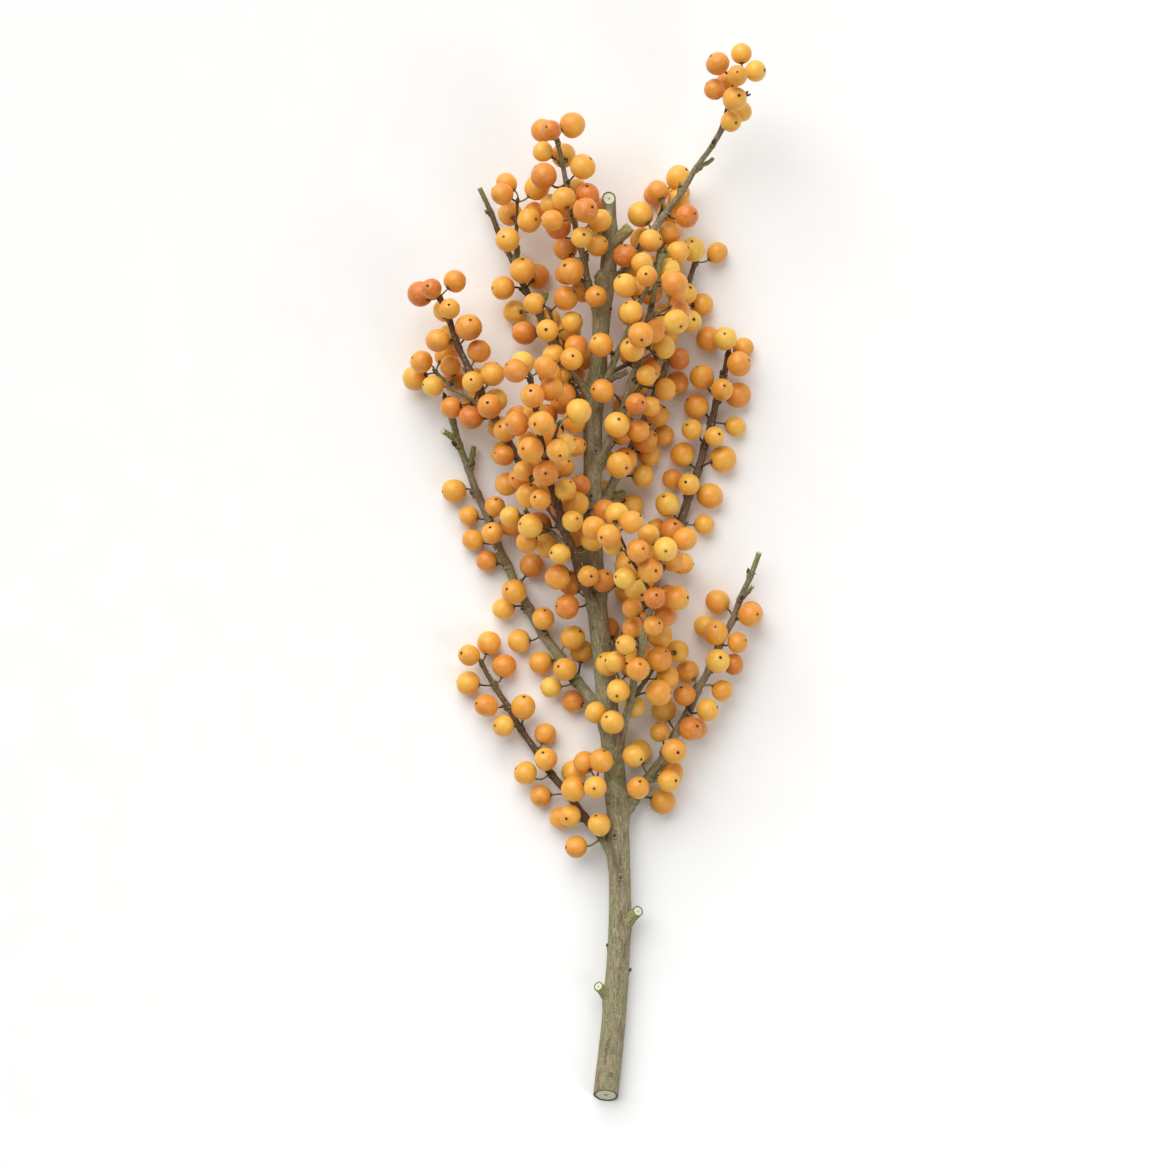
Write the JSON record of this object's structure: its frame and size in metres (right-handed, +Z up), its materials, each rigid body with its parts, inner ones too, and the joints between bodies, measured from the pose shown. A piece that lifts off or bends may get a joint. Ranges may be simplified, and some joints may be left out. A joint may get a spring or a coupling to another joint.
{
  "type": "winterberry branch",
  "caption": "Cut branch of golden winterberry lying on a table: a pruned woody stem with side shoots and short spurs, all hung with round golden orange berries on thin stalks.",
  "frame": {"origin": "on the table plane that the branch lies on, under the centre of the whole branch's box", "axes": "+Y along the stem from the butt to the tips, +Z up from the table, +X to the right seen from above with the tips away"},
  "size_m": [0.1801, 0.5181, 0.0963],
  "materials": {
    "bark": "matt grey-olive bark with small pale dots; pale greenish wood at the cuts",
    "fruit": "satin golden orange berry skin with one dark dot; the twigs and stalks in these nodes are bark"
  },
  "bodies": {
    "root": {"main_stem": "bark", "spur_01": "fruit", "spur_02": "fruit", "spur_03": "fruit", "spur_04": "fruit", "spur_05": "fruit", "spur_06": "fruit", "spur_07": "fruit", "shoot_01": "fruit", "shoot_02": "fruit", "shoot_03": "fruit", "shoot_04": "fruit", "shoot_05": "fruit", "shoot_06": "fruit", "shoot_07": "fruit", "shoot_08": "fruit", "shoot_09": "fruit", "shoot_10": "fruit", "shoot_11": "fruit", "shoot_12": "fruit", "shoot_13": "fruit"}
  },
  "joints": []
}
